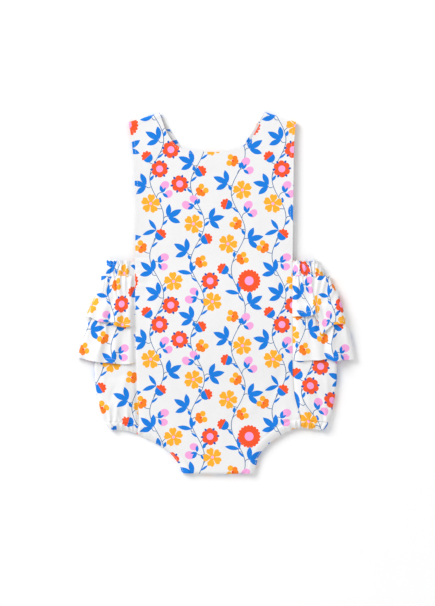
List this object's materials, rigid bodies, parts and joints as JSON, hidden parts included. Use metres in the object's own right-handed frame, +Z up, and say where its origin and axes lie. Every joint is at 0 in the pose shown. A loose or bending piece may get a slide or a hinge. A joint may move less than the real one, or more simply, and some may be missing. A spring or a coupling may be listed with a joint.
{
  "type": "baby romper",
  "caption": "Baby romper laid flat: bib front on wide straps crossed behind it, ruffled hips, gathered waist and legs, floral print cotton.",
  "frame": {"origin": "centre of the garment's outline, on the surface that it lies on", "axes": "+Y towards the shoulders, +X to the viewer's right as the front is seen, +Z up from the surface"},
  "size_m": [0.3014, 0.392, 0.0167],
  "materials": {
    "print_front": "plain-weave cotton, white with a scattered floral print",
    "print_back": "plain-weave cotton, white with a scattered floral print",
    "print_ruffle": "plain-weave cotton, white with a scattered floral print",
    "print_band": "plain-weave cotton, white with a scattered floral print",
    "print_strap": "plain-weave cotton, white with a scattered floral print"
  },
  "bodies": {
    "root": {"front_panel": "print_front", "back_panel": "print_back", "waist_casing": "print_band", "upper_ruffle": "print_ruffle", "lower_ruffle": "print_ruffle", "left_leg_band": "print_band", "right_leg_band": "print_band", "left_strap": "print_strap", "right_strap": "print_strap"}
  },
  "joints": []
}
